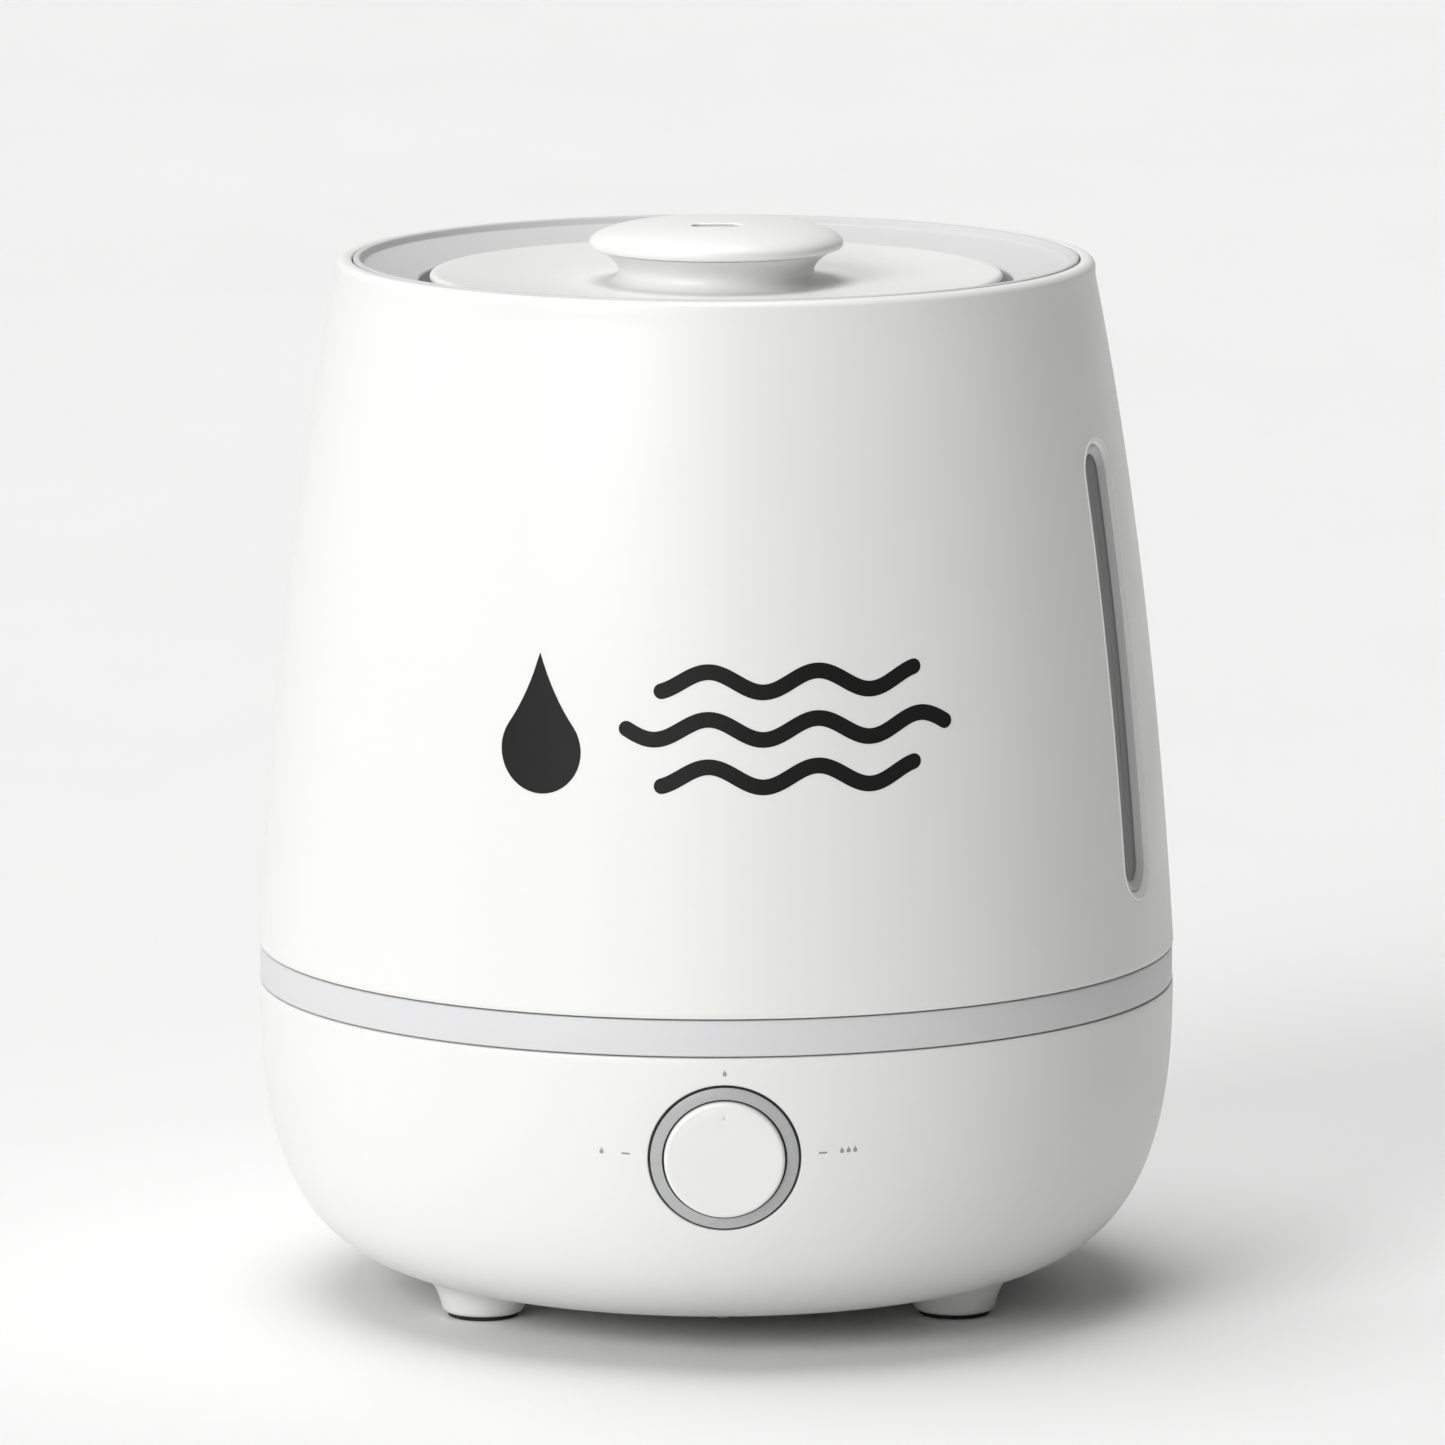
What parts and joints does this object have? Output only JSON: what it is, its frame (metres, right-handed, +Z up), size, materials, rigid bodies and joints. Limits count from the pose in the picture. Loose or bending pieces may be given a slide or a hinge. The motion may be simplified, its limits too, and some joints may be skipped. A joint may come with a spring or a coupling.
{
  "type": "cool mist humidifier",
  "caption": "Round top-fill cool mist humidifier with a tapered tank, level window, lift-off lid with turning mist nozzle, and a base with a mist dial on rubber-shod feet.",
  "frame": {"origin": "on the floor under the middle of the base", "axes": "+Z up along the tank's axis; the dial faces -Y; +X is to the right seen from the front"},
  "size_m": [0.2416, 0.2434, 0.2847],
  "materials": {
    "white_plastic": "satin",
    "light_grey_plastic": "satin",
    "bezel_plastic": "satin",
    "milky_plastic": "satin",
    "smoky_clear_plastic": "clear, smoky",
    "black_plastic": "satin",
    "black_rubber": "matte",
    "silicone": "matte",
    "filter_foam": "open foam",
    "circuit_board": "satin",
    "steel": "brushed",
    "aluminium": "extruded",
    "brass": "satin",
    "copper_wire": "enamelled copper",
    "red_insulation": "satin",
    "float_plastic": "satin"
  },
  "bodies": {
    "base": {"air_duct": "milky_plastic", "base_shell": "white_plastic", "basin": "milky_plastic", "board_screw_1": "steel", "board_screw_2": "steel", "bottom_cover": "white_plastic", "control_board": "circuit_board", "cover_screw_1": "steel", "cover_screw_2": "steel", "cover_screw_3": "steel", "cover_screw_4": "steel", "dial_bezel": "bezel_plastic", "driver_board": "circuit_board", "driver_capacitor": "black_plastic", "driver_coil": "copper_wire", "fan_frame": "black_plastic", "fan_screw_1": "steel", "fan_screw_2": "steel", "float_clip": "milky_plastic", "foot_front_left": "white_plastic", "foot_front_right": "white_plastic", "foot_pad_front_left": "black_rubber", "foot_pad_front_right": "black_rubber", "foot_pad_rear_left": "black_rubber", "foot_pad_rear_right": "black_rubber", "foot_rear_left": "white_plastic", "foot_rear_right": "white_plastic", "heat_sink": "aluminium", "intake_filter": "filter_foam", "lead_dial": "black_plastic", "lead_fan": "black_plastic", "lead_power": "red_insulation", "lead_transducer": "bezel_plastic", "potentiometer": "black_plastic", "power_inlet": "black_plastic", "transducer_disc": "brass", "transducer_holder": "steel", "transducer_screw_1": "steel", "transducer_screw_2": "steel", "transducer_seal": "silicone", "trim_ring": "light_grey_plastic"},
    "tank": {"tank_shell": "white_plastic", "level_window": "smoky_clear_plastic", "tank_liner": "light_grey_plastic", "tank_floor": "milky_plastic", "mist_tube": "milky_plastic", "valve_body": "milky_plastic", "valve_spring": "steel"},
    "valve": {"valve_plunger": "milky_plastic", "valve_seal": "silicone"},
    "lid": {"lid": "white_plastic", "lid_skirt": "white_plastic", "lid_seal": "silicone", "splash_guard": "milky_plastic"},
    "nozzle": {"nozzle_cap": "white_plastic"},
    "dial": {"dial_knob": "white_plastic", "dial_shaft": "steel"},
    "fan": {"fan_rotor": "black_plastic"},
    "float": {"float_body": "float_plastic", "float_magnet": "black_plastic"}
  },
  "joints": [
    {"name": "tank_lift", "type": "slide", "parent": "base", "child": "tank", "axis": [0, 0, 1], "range_m": [0, 0.08]},
    {"name": "lid_lift", "type": "slide", "parent": "tank", "child": "lid", "axis": [0, 0, 1], "range_m": [0, 0.06]},
    {"name": "nozzle_turn", "type": "hinge", "parent": "lid", "child": "nozzle", "pos_m": [0, 0, 0.278], "axis": [0, 0, 1], "continuous": true},
    {"name": "valve_close", "type": "slide", "parent": "tank", "child": "valve", "axis": [0, 0, 1], "range_m": [-0.004, 0], "deforming": ["valve_spring"]},
    {"name": "dial_turn", "type": "hinge", "parent": "base", "child": "dial", "pos_m": [0, -0.11935, 0.05735], "axis": [0, -0.9903, -0.1392], "range_deg": [-90, 90]},
    {"name": "fan_spin", "type": "hinge", "parent": "base", "child": "fan", "pos_m": [0, 0.042, 0.03], "axis": [0, 0, 1], "continuous": true},
    {"name": "float_rise", "type": "slide", "parent": "base", "child": "float", "axis": [0, 0, 1], "range_m": [0, 0.0055]}
  ],
  "couplings": [
    {"joint": "valve_close", "follows": "tank_lift", "ratio": -0.05}
  ]
}
